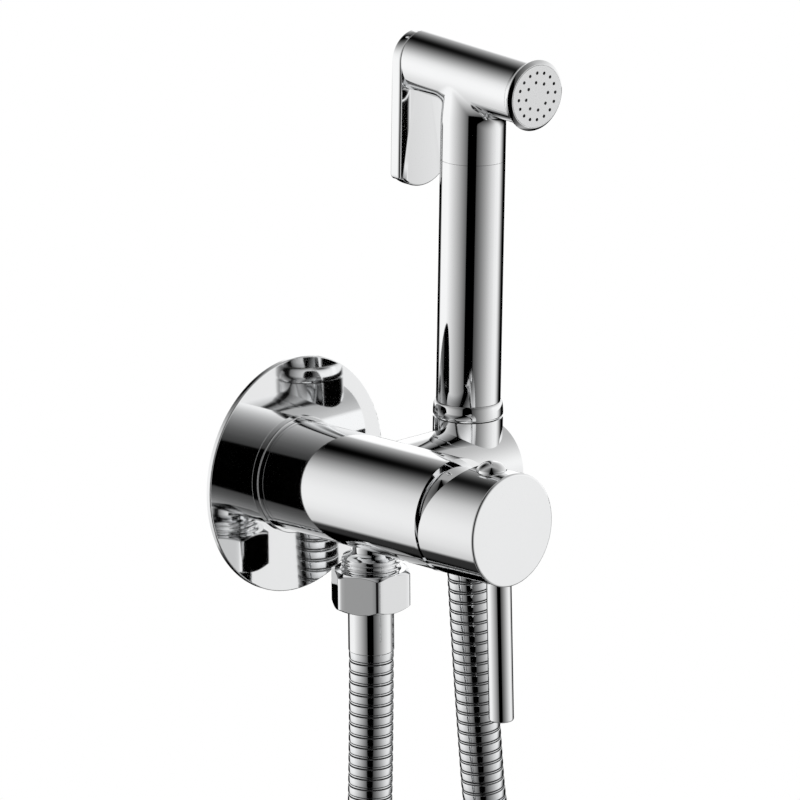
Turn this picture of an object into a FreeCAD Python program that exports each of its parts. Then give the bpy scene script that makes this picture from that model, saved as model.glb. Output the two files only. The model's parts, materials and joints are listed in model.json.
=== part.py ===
import FreeCAD, Part
import math
import os
import re
import Sketcher

# Concealed bidet shower mixer. Lengths are in millimetres and angles in degrees.
# The origin is where the body's axis meets the wall: +Y goes into the wall, -Y towards
# the user, +X towards the sprayer holder and +Z up.

Vector = FreeCAD.Vector
Rotation = FreeCAD.Rotation
X_AXIS = Vector(1, 0, 0)
Y_AXIS = Vector(0, 1, 0)
Z_AXIS = Vector(0, 0, 1)
ORIGIN = ("0", "0", "0")

doc = FreeCAD.newDocument("concealed_bidet_mixer")
dims = doc.addObject("Spreadsheet::Sheet", "Dims")

SIZES = {
    # running and seating clearances
    "seat_gap": 0.1,
    "run_gap": 0.3,
    # wall plate
    "plate_diameter": 86.0,
    "plate_thickness": 1.8,
    "plate_recess": 0.8,
    "plate_lip": 2.0,
    "collar_wall": 1.3,
    "collar_height": 3.4,
    # body barrel, measured forward from the wall
    "body_diameter": 40.0,
    "body_front": 79.2,
    "body_rear": 16.5,
    "cavity_diameter": 35.6,
    "cavity_floor": 50.0,
    # inlets at the back, inside the wall
    "inlet_spread": 12.6,
    "inlet_rise": 2.0,
    "inlet_bore": 18.6,
    "inlet_bore_depth": 12.0,
    "boss_wall": 3.2,
    "boss_front": 1.5,
    "passage_diameter": 7.0,
    "port_spread": 8.5,
    "port_rise": 5.0,
    # outlet under the body
    "outlet_reach": 38.5,
    "outlet_passage": 9.0,
    "neck_diameter": 13.0,
    "neck_socket": 3.0,
    "thread_diameter": 20.955,
    "thread_top": 24.6,
    "thread_end": 36.0,
    "nut_top": 31.6,
    "nut_end": 41.8,
    "nut_flats": 25.6,
    "nut_turn": -4.3,
    "washer_thickness": 2.0,
    "washer_hole": 10.0,
    "flange_thickness": 1.4,
    "flange_diameter": 18.6,
    "sleeve_diameter": 10.4,
    "sleeve_bore": 7.0,
    "ferrule_diameter": 16.4,
    "ferrule_wall": 0.7,
    "ferrule_length": 16.0,
    # hose
    "hose_diameter": 16.0,
    "hose_bore": 10.8,
    "rib_pitch": 3.9,
    "rib_depth": 0.8,
    "outlet_leg_end": 118.0,
    "sprayer_leg_end": 118.0,
    "sprayer_leg_forward": 42.0,
    "sprayer_leg_across": 53.0,
    "coil_radius": 80.0,
    "coil_centre": 262.0,
    "coil_rear": 27.0,
    "coil_front": 46.0,
    "tie_width": 7.0,
    "tie_wall": 1.4,
    "tie_gap": 0.2,
    # holder arm and cup
    "holder_across": 45.8,
    "holder_forward": 42.0,
    "holder_lean": 1.65,
    "arm_diameter": 33.2,
    "arm_end": 57.7,
    "spigot_diameter": 12.0,
    "spigot_length": 5.0,
    "cup_diameter": 25.2,
    "cup_rim": 20.6,
    "cone_top_diameter": 22.8,
    "cone_end_diameter": 18.6,
    "cone_end": 4.0,
    # sprayer
    "sprayer_turn": -5.7,
    "collar_top": 26.4,
    "collar_diameter": 25.2,
    "nut_thread_depth": 8.0,
    "flange_seat": 15.4,
    "stick_diameter": 23.2,
    "stick_wall": 1.2,
    "seam_height": 114.5,
    "joint_length": 9.0,
    "head_height": 144.2,
    "stem_neck": 22.0,
    "neck_low": 14.5,
    "neck_high": 10.0,
    "head_diameter": 22.4,
    "head_rear": 27.9,
    "head_front": 29.2,
    "head_droop": 2.45,
    "chamber_bore": 18.0,
    "bezel_diameter": 25.0,
    "bezel_wall": 1.4,
    "bezel_widest": 32.4,
    "bezel_front": 33.5,
    "bezel_cove": 5.0,
    "spigot_step": 1.0,
    "face_thickness": 2.6,
    "gasket_thickness": 0.8,
    "hole_diameter": 1.2,
    "outer_hole_circle": 16.7,
    "inner_hole_circle": 10.0,
    # trigger and water valve
    "trigger_thickness": 5.2,
    "trigger_width": 21.2,
    "trigger_drop": 45.9,
    "trigger_end_radius": 13.5,
    "trigger_gap": 0.3,
    "trigger_pivot_height": 8.0,
    "trigger_pivot_depth": 1.6,
    "trigger_pin_diameter": 2.0,
    "trigger_press": 6.0,
    "lug_width": 6.0,
    "plunger_diameter": 4.4,
    "plunger_dome": 0.42,
    "plunger_seat": 3.2,
    "valve_diameter": 11.0,
    "spring_wire": 1.0,
    "spring_diameter": 9.0,
    # cartridge and handle, measured forward from the wall
    "housing_wall": 1.8,
    "disc_rear": 54.0,
    "disc_thickness": 4.0,
    "moving_disc_diameter": 22.0,
    "moving_disc_thickness": 3.4,
    "carrier_thickness": 5.0,
    "rotor_rear": 67.0,
    "rotor_front": 77.0,
    "rotor_flange_front": 72.5,
    "housing_front": 74.5,
    "cartridge_nut_front": 77.6,
    "lever_pivot": 74.0,
    "lever_diameter": 8.6,
    "lever_ball_diameter": 5.0,
    "lever_ball_arm": 10.0,
    "lever_front": 102.0,
    "pivot_pin_diameter": 3.0,
    "shroud_flange": 1.3,
    "dome_radius": 18.5,
    "dome_wall": 1.5,
    "dome_opening": 21.2,
    "cap_diameter": 40.0,
    "cap_front": 108.0,
    "cap_floor": 94.0,
    "cap_wall": 2.2,
    "cap_rear": 81.5,
    "cap_scoop_radius": 44.0,
    "cap_scoop_drop": 8.0,
    "cap_edge": 0.8,
    "screw_forward": 98.0,
    "screw_diameter": 5.0,
    "plug_diameter": 10.5,
    "plug_rise": 1.35,
    "rod_forward": 101.3,
    "rod_diameter": 8.8,
    "rod_end": 69.6,
    "rod_lean": 1.3,
    "rod_spigot": 6.0,
    "rod_spigot_length": 7.0,
}

for row, (alias, number) in enumerate(SIZES.items(), start=1):
    dims.set(f"A{row}", alias)
    dims.set(f"B{row}", str(number))
    dims.setAlias(f"B{row}", alias)
doc.recompute()

parts = {}


def bound(text):
    """Write size names as references to the sheet. Every size name has an underscore."""
    return re.sub(r"[a-z]+(?:_[a-z]+)+", lambda word: "Dims." + word.group(), text)


def size(text):
    """The value of a size or of an expression of sizes."""
    return float(dims.evalExpression(bound(text)))


def bind(obj, **sizes):
    for name, text in sizes.items():
        obj.setExpression(name, bound(text))
    return obj


def place(obj, base=ORIGIN, rotation=Rotation()):
    """Put an object at a base point given by expressions."""
    obj.Placement = FreeCAD.Placement(Vector(*[size(text) for text in base]), rotation)
    for axis, text in zip("xyz", base):
        obj.setExpression("Placement.Base." + axis, bound(text))
    return obj


def keep(label, obj):
    """Name an object as a sub-part of the mixer."""
    obj.Label = label
    parts[label] = obj
    return obj


# Primitives and booleans

def cylinder(diameter, height, base=ORIGIN, direction=Z_AXIS):
    obj = doc.addObject("Part::Cylinder", "cylinder")
    bind(obj, Radius=f"({diameter}) / 2", Height=height)
    return place(obj, base, Rotation(Z_AXIS, direction))


def box(length, width, height, base, rotation=Rotation()):
    obj = doc.addObject("Part::Box", "box")
    bind(obj, Length=length, Width=width, Height=height)
    return place(obj, base, rotation)


def ball(diameter, base):
    obj = doc.addObject("Part::Sphere", "ball")
    bind(obj, Radius=f"({diameter}) / 2")
    return place(obj, base)


def joined(*shapes):
    obj = doc.addObject("Part::MultiFuse", "joined")
    obj.Shapes = list(shapes)
    obj.Refine = True
    return obj


def cut(base, *tools):
    obj = doc.addObject("Part::Cut", "cut")
    obj.Base = base
    obj.Tool = tools[0] if len(tools) == 1 else joined(*tools)
    obj.Refine = True
    return obj


def grouped(placement, *shapes):
    """Shapes that share a placement on top of their own."""
    obj = doc.addObject("Part::Compound", "grouped")
    obj.Links = list(shapes)
    obj.Placement = placement
    return obj


def common(first, second):
    obj = doc.addObject("Part::MultiCommon", "common")
    obj.Shapes = [first, second]
    return obj


# Bodies from sketches

def origin_plane(body, role):
    return next(feature for feature in body.Origin.OriginFeatures if feature.Role == role)


def arc_centre(start, end, radius, side):
    """Centre of the short arc, to the left (side 1) or right (side -1) of its travel."""
    middle = (start + end) * 0.5
    travel = end - start
    rise = math.sqrt(max(radius**2 - (travel.Length / 2)**2, 0))
    left = Vector(-travel.y, travel.x, 0).normalize()
    return middle + left * rise * side


def outline(body, role, corners):
    """A closed sketch. A corner is (across, up), or (across, up, radius, side) where the
    edge that arrives at it is an arc."""
    sketch = body.newObject("Sketcher::SketchObject", body.Name + "_outline")
    sketch.AttachmentSupport = [(origin_plane(body, role), "")]
    sketch.MapMode = "FlatFace"
    points = [Vector(size(corner[0]), size(corner[1]), 0) for corner in corners]
    count = len(corners)
    starts = []
    ends = []
    arcs = []
    for index in range(count):
        start = points[index]
        end = points[(index + 1) % count]
        arrival = corners[(index + 1) % count][2:]
        if not arrival:
            sketch.addGeometry(Part.LineSegment(start, end))
            starts.append(1)
            ends.append(2)
            continue
        radius, side = size(arrival[0]), arrival[1]
        centre = arc_centre(start, end, radius, side)
        first, last = (start, end) if side > 0 else (end, start)
        angles = [math.atan2(point.y - centre.y, point.x - centre.x) for point in (first, last)]
        if angles[1] < angles[0]:
            angles[1] += 2 * math.pi
        circle = Part.Circle(centre, Z_AXIS, radius)
        sketch.addGeometry(Part.ArcOfCircle(circle, angles[0], angles[1]))
        starts.append(1 if side > 0 else 2)
        ends.append(2 if side > 0 else 1)
        arcs.append((index, arrival[0], radius))
    for index in range(count):
        after = (index + 1) % count
        sketch.addConstraint(
            Sketcher.Constraint("Coincident", index, ends[index], after, starts[after]))
    for index, corner in enumerate(corners):
        for kind, text, axis in (("DistanceX", corner[0], -2), ("DistanceY", corner[1], -1)):
            if text == "0":
                sketch.addConstraint(
                    Sketcher.Constraint("PointOnObject", index, starts[index], axis))
                continue
            number = sketch.addConstraint(
                Sketcher.Constraint(kind, -1, 1, index, starts[index], size(text)))
            sketch.setExpression(f"Constraints[{number}]", bound(text))
    for index, text, radius in arcs:
        number = sketch.addConstraint(Sketcher.Constraint("Radius", index, radius))
        sketch.setExpression(f"Constraints[{number}]", bound(text))
    return sketch


def turned(name, corners):
    """A piece turned about its own Z axis from an outline of (radius, height) corners."""
    body = doc.addObject("PartDesign::Body", name)
    sketch = outline(body, "XZ_Plane", corners)
    turning = body.newObject("PartDesign::Revolution", name + "_turning")
    turning.Profile = sketch
    turning.ReferenceAxis = (sketch, ["V_Axis"])
    turning.Angle = 360
    return body


def ring(name, outer, inner, low, high):
    """A plain ring or, with an inner diameter of 0, a plain disc."""
    return turned(name, [
        (f"({inner}) / 2" if inner != "0" else "0", low),
        (f"({outer}) / 2", low),
        (f"({outer}) / 2", high),
        (f"({inner}) / 2" if inner != "0" else "0", high),
    ])


def padded(name, corners, height):
    """A flat piece: an outline in its own XY plane, raised along Z."""
    body = doc.addObject("PartDesign::Body", name)
    pad = body.newObject("PartDesign::Pad", name + "_pad")
    pad.Profile = outline(body, "XY_Plane", corners)
    bind(pad, Length=height)
    return body


def soften(body, radius, chosen, kind="PartDesign::Fillet"):
    """Round the edges of a body for which chosen(edge) is true."""
    doc.recompute()
    feature = body.Tip
    names = [f"Edge{number}" for number, edge in enumerate(feature.Shape.Edges, start=1)
             if chosen(edge)]
    rounding = body.newObject(kind, body.Name + "_rounding")
    rounding.Base = (feature, names)
    bind(rounding, **{"Radius" if kind.endswith("Fillet") else "Size": radius})
    return body


def rim(radius, height):
    """Chooses the circular edges of a given radius at a given height."""
    def chosen(edge):
        curve = edge.Curve
        return (isinstance(curve, Part.Circle)
                and abs(curve.Radius - size(radius)) < 0.01
                and abs(curve.Center.z - size(height)) < 0.01)
    return chosen


# Frames. Forward: local Z points at the user, local Y up. Down: local Z points down.
FORWARD = Rotation(X_AXIS, 90)
DOWN = Rotation(X_AXIS, 180)
OUTLET_BASE = ("0", "-outlet_reach", "0")
HOLDER_BASE = ("holder_across", "-holder_forward", "0")
LEAN = Rotation(X_AXIS, size("holder_lean"))
SPRAYER = LEAN.multiply(Rotation(Z_AXIS, size("sprayer_turn")))
HEAD_FORWARD = Rotation(X_AXIS, 90 + size("head_droop"))


# Wall plate

def wall_plate():
    collar = "body_diameter / 2 + seat_gap"
    body = turned("wall_plate_body", [
        (collar, "0"),
        (collar + " + plate_lip", "0"),
        (collar + " + plate_lip", "plate_recess"),
        ("plate_diameter / 2 - plate_lip", "plate_recess"),
        ("plate_diameter / 2 - plate_lip", "0"),
        ("plate_diameter / 2", "0"),
        ("plate_diameter / 2", "plate_thickness"),
        (collar + " + collar_wall", "plate_thickness"),
        (collar + " + collar_wall", "collar_height"),
        (collar, "collar_height"),
    ])
    soften(body, "plate_thickness / 4", rim("plate_diameter / 2", "plate_thickness"))
    soften(body, "collar_wall / 3", rim(collar + " + collar_wall", "collar_height"))
    keep("wall_plate", place(body, rotation=FORWARD))
    gasket = ring(
        "wall_gasket_body",
        "plate_diameter - 2 * plate_lip - 2 * seat_gap",
        "body_diameter + 2 * plate_lip + 4 * seat_gap",
        "0", "plate_recess")
    keep("wall_gasket", place(gasket, rotation=FORWARD))


# Valve body: one casting with the barrel, the hot and cold inlets at its back, the
# drillings between them and the cartridge, and the outlet socket underneath.

def valve_body():
    bore_floor = "-body_rear + inlet_bore_depth"
    pieces = [cylinder("body_diameter", "body_front + body_rear", ("0", "0", "-body_rear"))]
    tools = [cylinder("cavity_diameter", "body_front - cavity_floor + 1",
                      ("0", "0", "cavity_floor"))]
    for side in ("-", ""):
        inlet = f"{side}inlet_spread"
        pieces.append(cylinder("inlet_bore + 2 * boss_wall", "body_rear - boss_front",
                               (inlet, "inlet_rise", "-body_rear")))
        tools.append(cylinder("inlet_bore", "inlet_bore_depth + 1",
                              (inlet, "inlet_rise", "-body_rear - 1")))
        tools.append(cylinder("passage_diameter", f"cavity_floor - ({bore_floor}) + 1",
                              (f"{side}port_spread", "port_rise", f"{bore_floor} - 1")))
    tools.append(cylinder("passage_diameter", "cavity_floor - outlet_reach",
                          ("0", "-port_spread", "outlet_reach")))
    tools.append(cylinder("outlet_passage", "body_diameter / 2 - port_spread + 2",
                          ("0", "-port_spread + 2", "outlet_reach"), -Y_AXIS))
    tools.append(cylinder("neck_diameter + 2 * seat_gap", "neck_socket + 1",
                          ("0", "-body_diameter / 2 + neck_socket", "outlet_reach"), -Y_AXIS))
    tools.append(cylinder(
        "spigot_diameter + 2 * seat_gap", "spigot_length + 1",
        ("body_diameter / 2 - spigot_length - seat_gap", "0", "holder_forward"), X_AXIS))
    keep("valve_body", place(cut(joined(*pieces), *tools), rotation=FORWARD))


# Cartridge

def port_tools(diameter, low, length):
    """The three ports: hot and cold above, mixed water below."""
    spots = (("-port_spread", "port_rise"), ("port_spread", "port_rise"), ("0", "-port_spread"))
    return [cylinder(diameter, length, (across, up, low)) for across, up in spots]


def cartridge():
    bore = "cavity_diameter - 2 * seat_gap"
    seal = "1"
    seals = joined(*[
        cut(tube, hole) for tube, hole in zip(
            port_tools("passage_diameter + 3", "cavity_floor", seal),
            port_tools("passage_diameter", "cavity_floor", seal))])
    keep("port_seals", place(seals, rotation=FORWARD))
    base = ring("cartridge_base_body", bore, "0", f"cavity_floor + {seal}", "disc_rear")
    base = cut(base, *port_tools("passage_diameter - 1", "cavity_floor", "disc_rear - cavity_floor"))
    keep("cartridge_base", place(base, rotation=FORWARD))
    disc_front = "disc_rear + disc_thickness"
    fixed = ring("fixed_disc_body", "moving_disc_diameter + 4", "0", "disc_rear", disc_front)
    fixed = cut(fixed, *port_tools("passage_diameter - 1", "disc_rear", "disc_thickness"))
    keep("fixed_disc", place(fixed, rotation=FORWARD))
    wide = f"({bore}) / 2 - housing_wall"
    housing = turned("cartridge_housing_body", [
        ("moving_disc_diameter / 2 + 2 + seat_gap", "disc_rear"),
        (f"({bore}) / 2", "disc_rear"),
        (f"({bore}) / 2", "housing_front"),
        (f"{wide} - 2", "housing_front"),
        (f"{wide} - 2", "rotor_flange_front + run_gap"),
        (wide, "rotor_flange_front + run_gap"),
        (wide, f"{disc_front} + run_gap"),
        ("moving_disc_diameter / 2 + 2 + seat_gap", f"{disc_front} - 1"),
    ])
    keep("cartridge_housing", place(housing, rotation=FORWARD))
    moving_rear = disc_front + " + seat_gap / 2"
    moving_front = moving_rear + " + moving_disc_thickness"
    moving = turned("moving_disc_body", [
        ("0", f"{moving_rear} + 1.5"),
        ("moving_disc_diameter / 3", f"{moving_rear} + 1.5"),
        ("moving_disc_diameter / 3", moving_rear),
        ("moving_disc_diameter / 2", moving_rear),
        ("moving_disc_diameter / 2", moving_front),
        ("0", moving_front),
    ])
    keep("moving_disc", place(moving, rotation=FORWARD))
    carrier = ring("disc_carrier_body", "moving_disc_diameter", "lever_ball_diameter + 2 * run_gap",
                   moving_front, moving_front + " + carrier_thickness")
    keep("disc_carrier", place(carrier, rotation=FORWARD))
    neck = f"{wide} - 2 - run_gap"
    rotor = turned("rotor_body", [
        ("0", "rotor_rear"),
        (f"{wide} - run_gap", "rotor_rear"),
        (f"{wide} - run_gap", "rotor_flange_front"),
        (neck, "rotor_flange_front"),
        (neck, "rotor_front"),
        ("0", "rotor_front"),
    ])
    slot_width = "lever_diameter + 2 * run_gap"
    slot_height = "lever_diameter + 7"
    slot = box(slot_width, slot_height, "rotor_front - rotor_rear + 2",
               (f"-({slot_width}) / 2", f"-({slot_height}) / 2", "rotor_rear - 1"))
    pin_length = f"2 * ({wide} - 4)"
    pin_bore = cylinder("pivot_pin_diameter + 2 * seat_gap", pin_length + " + 2 * seat_gap",
                        (f"-({pin_length}) / 2 - seat_gap", "0", "lever_pivot"), X_AXIS)
    keep("cartridge_rotor", place(cut(rotor, slot, pin_bore), rotation=FORWARD))
    pin = cylinder("pivot_pin_diameter", pin_length, (f"-({pin_length}) / 2", "0", "lever_pivot"),
                   X_AXIS)
    keep("lever_pin", place(joined(pin, cylinder("pivot_pin_diameter", "1", (
        "0", "0", "lever_pivot"), X_AXIS)), rotation=FORWARD))
    nut = turned("cartridge_nut_body", [
        (f"{wide} - 1", "housing_front + seat_gap"),
        (f"({bore}) / 2", "housing_front + seat_gap"),
        (f"({bore}) / 2", "cartridge_nut_front"),
        (f"{wide} - 1", "cartridge_nut_front"),
    ])
    keep("cartridge_nut", place(nut, rotation=FORWARD))


def shroud():
    """Domed cover: its sleeve screws into the barrel, its thin flange is the bright ring."""
    sleeve = "cavity_diameter / 2 - seat_gap"
    inner = "dome_radius - dome_wall"
    flange = "body_front + shroud_flange"
    opening = "dome_opening / 2"
    inner_opening = "dome_opening / 2 - dome_wall / 3"
    body = turned("dome_shroud_body", [
        (f"sqrt(({inner})^2 - (body_front - lever_pivot)^2)", "body_front - 1.4"),
        (sleeve, "body_front - 1.4"),
        (sleeve, "body_front"),
        ("body_diameter / 2 + 0.2", "body_front"),
        ("body_diameter / 2 + 0.2", flange),
        (f"sqrt(dome_radius^2 - ({flange} - lever_pivot)^2)", flange),
        (opening, f"lever_pivot + sqrt(dome_radius^2 - ({opening})^2)", "dome_radius", 1),
        (inner_opening, f"lever_pivot + sqrt(({inner})^2 - ({inner_opening})^2)"),
        (f"sqrt(({inner})^2 - (body_front - lever_pivot)^2)", "body_front", inner, -1),
    ])
    keep("dome_shroud", place(body, rotation=FORWARD))


# Handle

def handle():
    wall = "cap_diameter / 2 - cap_wall"
    blank = turned("handle_cap_blank", [
        ("0", "cap_floor"),
        (wall, "cap_floor"),
        (wall, "cap_rear - 1"),
        ("cap_diameter / 2", "cap_rear - 1"),
        ("cap_diameter / 2", "cap_front"),
        ("0", "cap_front"),
    ])
    soften(blank, "cap_edge", rim("cap_diameter / 2", "cap_front"))
    scoop = cylinder("2 * cap_scoop_radius", "2 * cap_diameter",
                     ("-cap_diameter", "-cap_scoop_drop", "cap_rear + cap_scoop_radius"), X_AXIS)
    top = "cap_diameter / 2"
    rod_seat = "cap_diameter / 2 - 0.8"
    tools = [
        cylinder("lever_diameter + 2 * seat_gap", "lever_front + seat_gap - cap_floor + 1",
                 ("0", "0", "cap_floor - 1")),
        cylinder("screw_diameter + 2 * seat_gap", top, ("0", "0", "screw_forward"), Y_AXIS),
        cylinder("plug_diameter + 2 * seat_gap", "4", ("0", f"{top} - 2", "screw_forward"), Y_AXIS),
        cylinder("rod_spigot + 2 * seat_gap", top,
                 ("0", f"-{top} + 8", "rod_forward - 7.2 * tan(rod_lean)"),
                 Vector(0, -math.cos(math.radians(size("rod_lean"))),
                        math.sin(math.radians(size("rod_lean"))))),
        cylinder("rod_diameter + 2 * seat_gap", "4", ("0", f"-({rod_seat})", "rod_forward"),
                 Vector(0, -math.cos(math.radians(size("rod_lean"))),
                        math.sin(math.radians(size("rod_lean"))))),
    ]
    cap = cut(common(blank, scoop), *tools)
    keep("handle_cap", place(cap, rotation=FORWARD))
    plug = turned("index_plug_body", [
        ("0", "0"),
        ("plug_diameter / 2", "0"),
        ("plug_diameter / 2", "2 - plug_rise / 2"),
        ("0", "2 + plug_rise",
         "(plug_diameter^2 / 4 + (1.5 * plug_rise)^2) / (3 * plug_rise)", 1),
    ])
    keep("index_plug", place(plug, ("0", "-screw_forward", f"{top} - 2 + seat_gap")))
    screw = cylinder("screw_diameter", "8")
    socket = doc.addObject("Part::Prism", "socket")
    socket.Polygon = 6
    bind(socket, Circumradius="screw_diameter / 3.4", Height="4")
    place(socket, ("0", "0", "5"))
    screw = cut(screw, socket)
    keep("handle_screw", place(screw, ("0", "-screw_forward", "lever_diameter / 2 + seat_gap")))
    length = f"rod_end - ({rod_seat})"
    rod = turned("handle_rod_body", [
        ("0", "0"),
        ("rod_spigot / 2", "0"),
        ("rod_spigot / 2", "rod_spigot_length"),
        ("rod_diameter / 2", "rod_spigot_length"),
        ("rod_diameter / 2", f"rod_spigot_length + {length}"),
        ("0", f"rod_spigot_length + {length}"),
    ])
    soften(rod, "rod_diameter / 11", rim("rod_diameter / 2", f"rod_spigot_length + {length}"))
    lean = Rotation(X_AXIS, 180 - size("rod_lean"))
    back = f"rod_spigot_length - seat_gap"
    keep("handle_rod", place(rod, (
        "0", f"-rod_forward + ({back}) * sin(rod_lean)",
        f"-({rod_seat}) + ({back}) * cos(rod_lean)"), lean))


def lever():
    ball_place = "lever_pivot - lever_ball_arm"
    neck_front = f"{ball_place} + lever_ball_diameter / 2 + 1.5"
    stem = turned("lever_stem_body", [
        ("0", ball_place),
        ("lever_ball_diameter / 2.8", ball_place),
        ("lever_ball_diameter / 2.8", neck_front),
        ("lever_diameter / 2", f"{neck_front} + 1"),
        ("lever_diameter / 2", "lever_front"),
        ("0", "lever_front"),
    ])
    stem = joined(stem, ball("lever_ball_diameter", ("0", "0", ball_place)))
    pin_hole = cylinder("pivot_pin_diameter + 2 * seat_gap", "2 * lever_diameter",
                        ("-lever_diameter", "0", "lever_pivot"), X_AXIS)
    keep("lever_stem", place(cut(stem, pin_hole), rotation=FORWARD))


# Outlet and hose end

def hex_nut():
    blank = doc.addObject("Part::Prism", "nut_blank")
    blank.Polygon = 6
    bind(blank, Circumradius="nut_flats / 2 / cos(30)", Height="nut_end - nut_top")
    place(blank, ("0", "0", "nut_top"), Rotation(Z_AXIS, -size("nut_turn")))
    corner = "nut_flats / 2 / cos(30)"
    edge = "nut_flats / 2 - 0.3"
    cone = turned("nut_chamfer", [
        ("0", "nut_top"),
        (edge, "nut_top"),
        (f"{corner} + 0.1", f"nut_top + ({corner} + 0.1 - ({edge})) * 0.5"),
        (f"{corner} + 0.1", f"nut_end - ({corner} + 0.1 - ({edge})) * 0.6"),
        (edge + " - 0.6", "nut_end"),
        ("0", "nut_end"),
    ])
    insert_rear = "thread_end + washer_thickness + flange_thickness"
    tools = [
        cylinder("thread_diameter + 2 * seat_gap", f"{insert_rear} + seat_gap - nut_top + 1",
                 ("0", "0", "nut_top - 1")),
        cylinder("sleeve_diameter + 1", "nut_end - nut_top + 2", ("0", "0", "nut_top - 1")),
    ]
    return cut(common(blank, cone), *tools)


def hose_end_pieces(washer, insert, ferrule, base, rotation, washer_start, ferrule_start):
    """Washer, flanged insert and crimped ferrule, stacked along the hose from washer_start."""
    flange = f"{washer_start} + washer_thickness"
    tail = f"{ferrule_start} + ferrule_length"
    body = ring(washer + "_body", "flange_diameter", "washer_hole", washer_start, flange)
    keep(washer, place(body, base, rotation))
    body = turned(insert + "_body", [
        ("sleeve_bore / 2", flange),
        ("flange_diameter / 2", flange),
        ("flange_diameter / 2", f"{flange} + flange_thickness"),
        ("sleeve_diameter / 2", f"{flange} + flange_thickness"),
        ("sleeve_diameter / 2", tail),
        ("sleeve_bore / 2", tail),
    ])
    keep(insert, place(body, base, rotation))
    outer = "ferrule_diameter / 2"
    body = turned(ferrule + "_body", [
        ("sleeve_diameter / 2 + seat_gap", ferrule_start),
        (outer, ferrule_start),
        (outer, tail),
        (f"{outer} - ferrule_wall", tail),
        (f"{outer} - ferrule_wall", f"{ferrule_start} + 1"),
        ("sleeve_diameter / 2 + seat_gap", f"{ferrule_start} + 1"),
    ])
    soften(body, "ferrule_wall / 2", rim(outer, tail))
    keep(ferrule, place(body, base, rotation))


def outlet():
    nipple = turned("outlet_nipple_body", [
        ("washer_hole / 2", "body_diameter / 2 - neck_socket + seat_gap"),
        ("neck_diameter / 2", "body_diameter / 2 - neck_socket + seat_gap"),
        ("neck_diameter / 2", "thread_top"),
        ("thread_diameter / 2", "thread_top"),
        ("thread_diameter / 2", "thread_end"),
        ("washer_hole / 2", "thread_end"),
    ])
    soften(nipple, "0.8", rim("thread_diameter / 2", "thread_top"), "PartDesign::Chamfer")
    keep("outlet_nipple", place(nipple, OUTLET_BASE, DOWN))
    keep("hose_nut", place(hex_nut(), OUTLET_BASE, DOWN))
    hose_end_pieces("outlet_washer", "outlet_insert", "outlet_ferrule",
                    OUTLET_BASE, DOWN, "thread_end", "nut_end + seat_gap")


# Holder arm with its cup, bored for the hose

def holder():
    arm = cylinder("arm_diameter", "arm_end", ("0", "-holder_forward", "0"), X_AXIS)
    cup = cylinder("cup_diameter", "cup_rim")
    lean = size("holder_lean")
    place(cup, HOLDER_BASE, LEAN)
    saddle = cylinder("body_diameter + 2 * seat_gap", "3 * arm_diameter",
                      ("0", "arm_diameter", "0"), -Y_AXIS)
    bore = turned("holder_bore", [
        ("0", "-arm_diameter"),
        ("cone_end_diameter / 2 + run_gap", "-arm_diameter"),
        ("cone_end_diameter / 2 + run_gap", "-cone_end"),
        ("cone_top_diameter / 2 + run_gap", "cup_rim"),
        ("cone_top_diameter / 2 + run_gap", "cup_rim + 5"),
        ("0", "cup_rim + 5"),
    ])
    place(bore, HOLDER_BASE, LEAN)
    spigot = cylinder("spigot_diameter", "spigot_length + 2",
                      ("body_diameter / 2 - spigot_length", "-holder_forward", "0"), X_AXIS)
    keep("holder_arm", joined(cut(joined(arm, cup), saddle, bore), spigot))


# Sprayer, built about the axis of its grip with its head towards -Y

def sprayer_parts():
    nut_inner = "thread_diameter / 2 + seat_gap"
    nut_bore = "ferrule_diameter / 2 + run_gap"
    thread_end = "collar_top - nut_thread_depth"
    flange_bore = "flange_diameter / 2 + run_gap"
    tail_end = "flange_seat + flange_thickness + washer_thickness + 2 * seat_gap"
    body = turned("cone_nut_body", [
        (nut_bore, "-cone_end"),
        ("cone_end_diameter / 2", "-cone_end"),
        ("cone_top_diameter / 2", "cup_rim"),
        ("collar_diameter / 2 - 1.2", "cup_rim + seat_gap"),
        ("collar_diameter / 2 - 0.8", "collar_top", "(collar_top - cup_rim) / 2 + 0.3", 1),
        (nut_inner, "collar_top"),
        (nut_inner, thread_end),
        (flange_bore, thread_end),
        (flange_bore, "flange_seat"),
        (nut_bore, "flange_seat"),
    ])
    keep("cone_nut", place(body, HOLDER_BASE, SPRAYER))
    grip = "stick_diameter / 2"
    low = "collar_top + seat_gap"
    tube = turned("grip_tube_body", [
        (f"{grip} - stick_wall", low),
        (grip, low),
        (grip, "seam_height"),
        (f"{grip} - stick_wall", "seam_height"),
    ])
    keep("grip_tube", place(tube, HOLDER_BASE, SPRAYER))
    tail = turned("sprayer_tail_body", [
        ("washer_hole / 2", tail_end),
        ("thread_diameter / 2", tail_end),
        ("thread_diameter / 2", "collar_top"),
        (f"{grip} - stick_wall - seat_gap", "collar_top"),
        (f"{grip} - stick_wall - seat_gap", f"{low} + 10"),
        ("washer_hole / 2", f"{low} + 10"),
    ])
    keep("sprayer_tail", place(tail, HOLDER_BASE, SPRAYER))


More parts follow.
